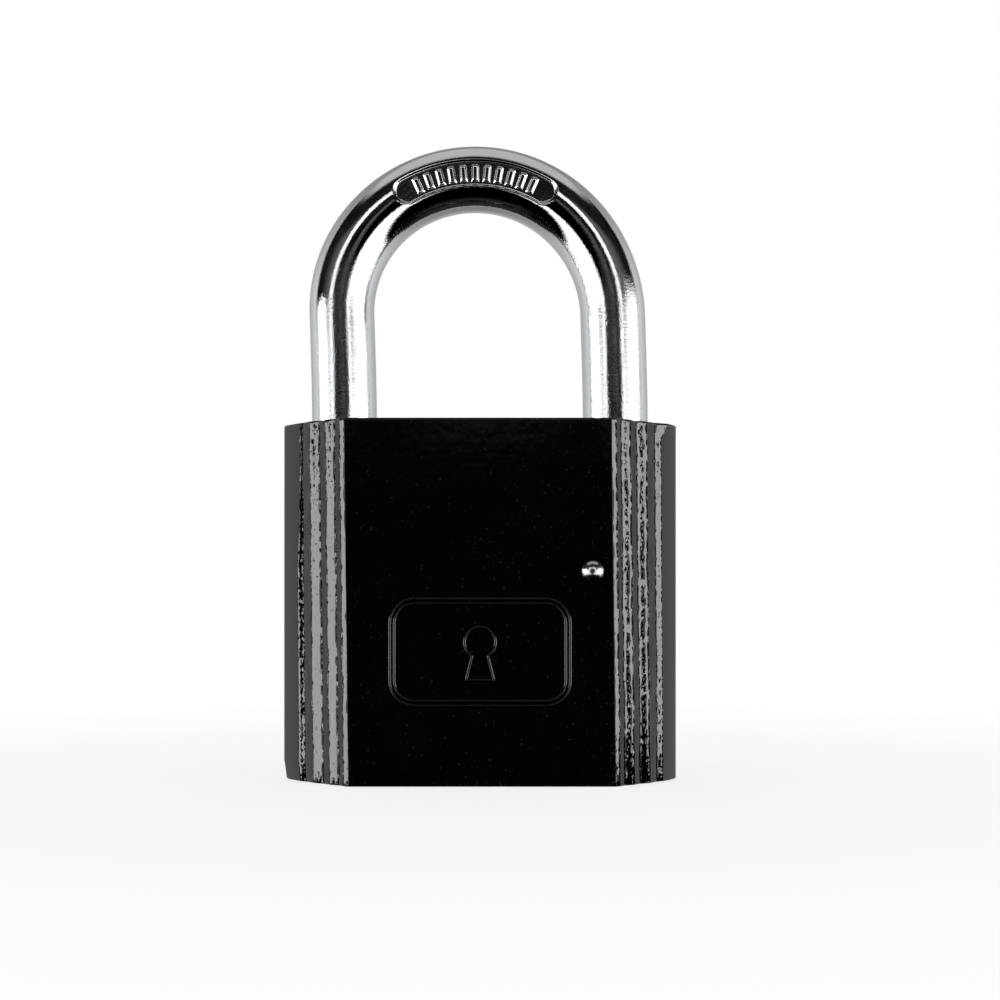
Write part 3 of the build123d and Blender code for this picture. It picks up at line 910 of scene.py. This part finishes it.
def makeFloor():
    # near white to the eye with the shadow kept; mirror rays go on to the studio below
    look = floorLook
    material = bpy.data.materials.new("paleFloor")
    material.use_nodes = True
    tree = material.node_tree
    tree.nodes.clear()
    path = addNode(tree, "ShaderNodeLightPath", out=None).outputs
    matt = addNode(tree, "ShaderNodeBsdfDiffuse", {"Color": toLinear(look["paper"])})
    glow = addNode(tree, "ShaderNodeEmission", {"Color": (1, 1, 1, 1), "Strength": path["Is Camera Ray"]})
    place = addNode(tree, "ShaderNodeTexCoord", out="Object")
    away = addNode(tree, "ShaderNodeVectorMath", [place], out="Value", operation="LENGTH")
    fade = addNode(tree, "ShaderNodeMapRange", [away, *look["bright"]], **smooth)
    pale = addNode(tree, "ShaderNodeMixShader", [fade, matt, glow])
    under = addNode(tree, "ShaderNodeNewGeometry", out="Backfacing")
    hidden = addNode(tree, "ShaderNodeMath", [path["Is Glossy Ray"], under], operation="MAXIMUM")
    clear = addNode(tree, "ShaderNodeBsdfTransparent")  # the underside can be looked at through the floor
    both = addNode(tree, "ShaderNodeMixShader", [hidden, pale, clear])
    addNode(tree, "ShaderNodeOutputMaterial", {"Surface": both}, out=None)
    half, z = look["half"], look["z"] * mm
    corners = [(-half, -half, z), (half, -half, z), (half, half, z), (-half, half, z)]
    meshObject("floor", corners, [], [(0, 1, 2, 3)], material)


# what mirror rays meet, by their direction: y 1 is straight back, z 1 straight up; from, to, level at each
studioLook = {
    "backEdge": (0.13, 0.17), "backFade": (0.2, 0.8, 1.0, 0.45), "backFall": (0.15, 0.95, 0.78, 0.48),
    "boxSlant": (-0.82, -0.2, 0.138, 0.166),  # where the boxes' top edge lies, front and rear
    "rightSide": (-0.05, 0.05), "rightRise": (-0.86, -0.5, 0.022, 0.155),  # the right box is taller
    "boxTop": (-0.008, 0.008, 1.4, 0.0), "boxFoot": (-0.52, -0.45),
    "boxFront": (-0.90, -0.87), "boxRear": (0.09, 0.12, 1.0, 0.0),
    "turn": 4.6,  # degrees by which the dark gap between the boxes lies to the left
    "stripTop": (0.5, 0.6, 1.4, 0.0), "stripRear": (-0.80, -0.77, 1.0, 0.0),
    "ceiling": (0.74, 0.86, 0.0, 0.55), "ceilingFront": (-0.35, -0.15),
    "roomFoot": (0.08, 0.13, 0.0, 0.07), "roomTop": (0.17, 0.23, 1.0, 0.12),
    "roomMottle": (0.35, 0.65, 0.1, 2.2),
    "haloFoot": (0.1, 0.14), "haloTop": (0.5, 0.6, 1.0, 0.0), "haloFront": (-0.82, -0.79),
    "haloFall": (-0.77, -0.2, 0.12, 0.003),
    "mottles": 14.0, "plain": 0.75,
}


def makeWorld():
    # white behind the object, a dark studio with a light box and a thin strip to each side
    look = studioLook
    world = bpy.data.worlds.new("studio")
    world.use_nodes = True
    scene.world = world
    tree = world.node_tree
    tree.nodes.clear()
    path = addNode(tree, "ShaderNodeLightPath", out=None).outputs
    way = addNode(tree, "ShaderNodeTexCoord", out="Generated")
    across, back, up = addNode(tree, "ShaderNodeSeparateXYZ", [way], out=None).outputs
    turn = math.radians(look["turn"])
    ahead = addNode(tree, "ShaderNodeVectorMath", [way, (math.sin(turn), math.cos(turn), 0)], out="Value",
                    operation="DOT_PRODUCT")
    tall = addNode(tree, "ShaderNodeMath", [up], operation="ABSOLUTE")
    slant = addNode(tree, "ShaderNodeMapRange", [back, *look["boxSlant"]], **smooth)
    right = addNode(tree, "ShaderNodeMapRange", [across, *look["rightSide"]], **smooth)
    rise = addNode(tree, "ShaderNodeMapRange", [back, *look["rightRise"]], **smooth)
    boxTop = addNode(tree, "ShaderNodeMath", [right, rise, slant], operation="MULTIPLY_ADD")
    overTop = addNode(tree, "ShaderNodeMath", [up, boxTop], operation="SUBTRACT")
    mottle = addNode(tree, "ShaderNodeTexNoise",
                     {"Vector": way, "Scale": look["mottles"], "Detail": 3, "Roughness": 0.7})
    lights = (((back, "backEdge"), (tall, "backFade"), (back, "backFall")),
              ((overTop, "boxTop"), (up, "boxFoot"), (ahead, "boxFront"), (back, "boxRear")),
              ((up, "stripTop"), (up, "boxFoot"), (ahead, "boxFront"), (ahead, "stripRear")),
              ((up, "ceiling"), (back, "ceilingFront")),
              ((up, "haloFoot"), (up, "haloTop"), (back, "haloFront"), (back, "haloFall"),
               (back, "boxRear")),
              ((up, "roomFoot"), (up, "roomTop"), (mottle, "roomMottle"), (back, "boxRear")))
    mirror = 0.0
    for limits in lights:
        level = 1.0
        for value, name in limits:
            share = addNode(tree, "ShaderNodeMapRange", [value, *look[name]], **smooth)
            level = addNode(tree, "ShaderNodeMath", [level, share], operation="MULTIPLY")
        mirror = addNode(tree, "ShaderNodeMath", [mirror, level], operation="MAXIMUM")
    plain, seenMirror, white = (addNode(tree, "ShaderNodeBackground", [(1, 1, 1, 1), strength])
                                for strength in (look["plain"], mirror, 1.0))
    glossy = addNode(tree, "ShaderNodeMath", [path["Is Glossy Ray"], path["Is Transmission Ray"]],
                     operation="MAXIMUM")
    both = addNode(tree, "ShaderNodeMixShader", [glossy, plain, seenMirror])
    both = addNode(tree, "ShaderNodeMixShader", [path["Is Camera Ray"], both, white])
    addNode(tree, "ShaderNodeOutputWorld", {"Surface": both}, out=None)


lampSizes = {"leftStrip": -72.0, "rightStrip": 72.0}  # degrees round from the front
lampShape = {"away": 0.5, "wide": 0.2, "tall": 0.24, "power": 0.9}


def addLamp(name, azimuth):
    s = lampShape
    light = bpy.data.lights.new(name, "AREA")
    light.shape, light.size, light.size_y, light.energy = "RECTANGLE", s["wide"], s["tall"], s["power"]
    lamp = bpy.data.objects.new(name, light)
    scene.collection.objects.link(lamp)
    a = math.radians(azimuth)
    aim = Vector((0, 0, caseHigh.z / 2 * mm))
    lamp.location = aim + Vector((math.sin(a), -math.cos(a), 0)) * s["away"]
    lamp.rotation_euler = (aim - lamp.location).to_track_quat("-Z", "Y").to_euler()


makeFloor()
makeWorld()
for name, azimuth in lampSizes.items():
    addLamp(name, azimuth)
scene.view_settings.view_transform = "Standard"
print("stage set")

looks = {"black_enamel": enamel, "chrome_steel": chrome, "polished_steel": polished, "brass": brass,
         "plain_steel": plainSteel, "spring_steel": springSteel}
for row in frame["record"]["subparts"]:
    node = frame["nodes"][row["node"]]
    node.data.materials.clear()
    node.data.materials.append(looks[row["material_slot"]])
